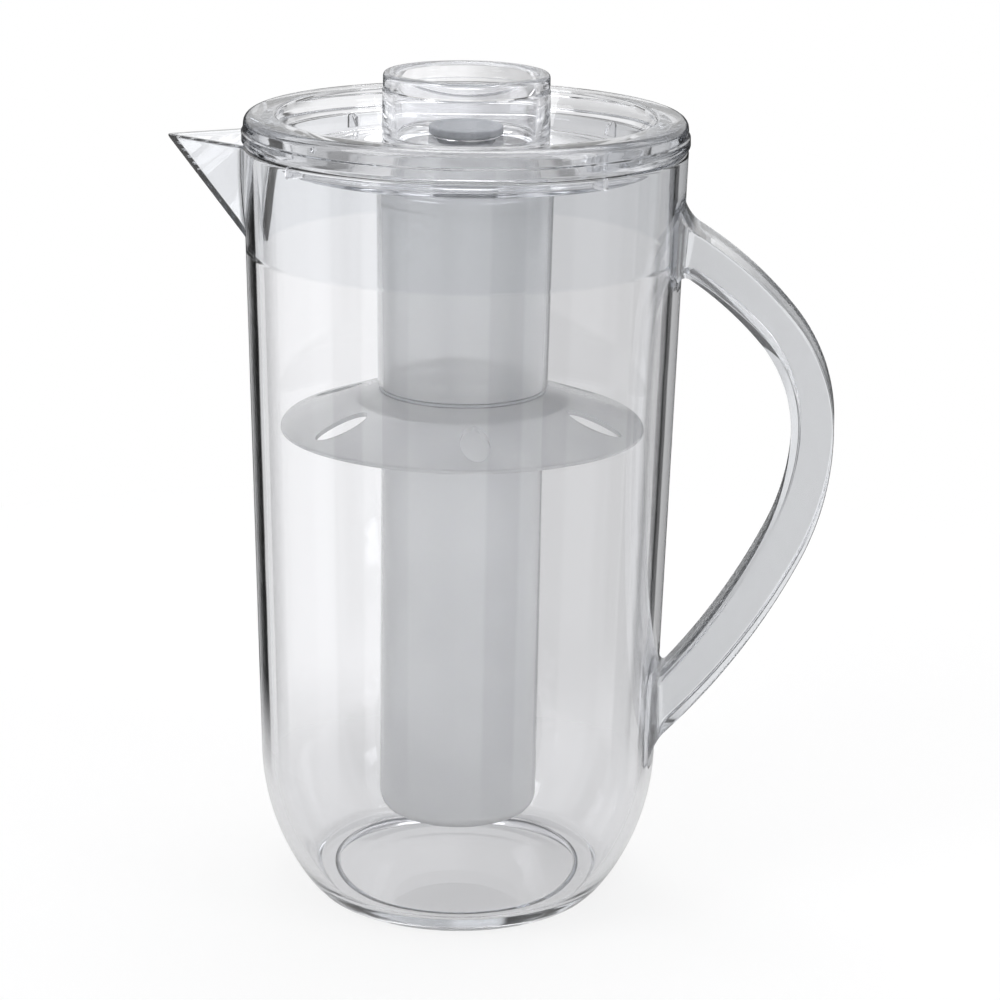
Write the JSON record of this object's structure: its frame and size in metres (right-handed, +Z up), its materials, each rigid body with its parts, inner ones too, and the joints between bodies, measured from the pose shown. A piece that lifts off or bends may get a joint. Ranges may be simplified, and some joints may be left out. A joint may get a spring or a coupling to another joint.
{
  "type": "fruit infusion pitcher",
  "caption": "Clear plastic pitcher with a V spout and D handle; its lid carries a screw-on ice tube with a frosted fruit guard and cup.",
  "frame": {"origin": "centre of the foot ring, on the plane that the pitcher stands on", "axes": "+Z up along the jug's axis, +X towards the handle, -X towards the spout"},
  "size_m": [0.205, 0.1348, 0.2585],
  "materials": {
    "clear_plastic": "polished clear moulding",
    "smoke_plastic": "glossy smoky clear moulding",
    "frosted_plastic": "frosted translucent moulding",
    "grey_rubber": "matte",
    "pale_rubber": "satin"
  },
  "bodies": {
    "jug": {"jug_body": "clear_plastic", "handle": "clear_plastic"},
    "lid": {"lid": "clear_plastic"},
    "plug": {"fill_plug": "grey_rubber"},
    "tube_ring": {"tube_seal": "pale_rubber"},
    "tube": {"upper_tube": "smoke_plastic"},
    "guard": {"fruit_guard": "frosted_plastic", "cup_seal": "pale_rubber"},
    "cup": {"lower_cup": "frosted_plastic"}
  },
  "joints": [
    {"name": "lid_lift", "type": "slide", "parent": "jug", "child": "lid", "axis": [0, 0, 1], "range_m": [0, 0.225]},
    {"name": "plug_pull", "type": "slide", "parent": "lid", "child": "plug", "axis": [0, 0, 1], "range_m": [0, 0.03]},
    {"name": "tube_travel", "type": "slide", "parent": "lid", "child": "tube_ring", "axis": [0, 0, -1], "range_m": [0, 0.008]},
    {"name": "tube_turn", "type": "hinge", "parent": "tube_ring", "child": "tube", "pos_m": [0, 0, 0.2], "axis": [0, 0, -1], "range_deg": [0, 720]},
    {"name": "guard_travel", "type": "slide", "parent": "tube", "child": "guard", "axis": [0, 0, -1], "range_m": [0, 0.006]},
    {"name": "cup_turn", "type": "hinge", "parent": "guard", "child": "cup", "pos_m": [0, 0, 0.1], "axis": [0, 0, -1], "range_deg": [0, 540]}
  ],
  "couplings": [
    {"joint": "tube_travel", "follows": "tube_turn", "m_per_rad": 0.0006366},
    {"joint": "guard_travel", "follows": "cup_turn", "m_per_rad": 0.0006366}
  ]
}
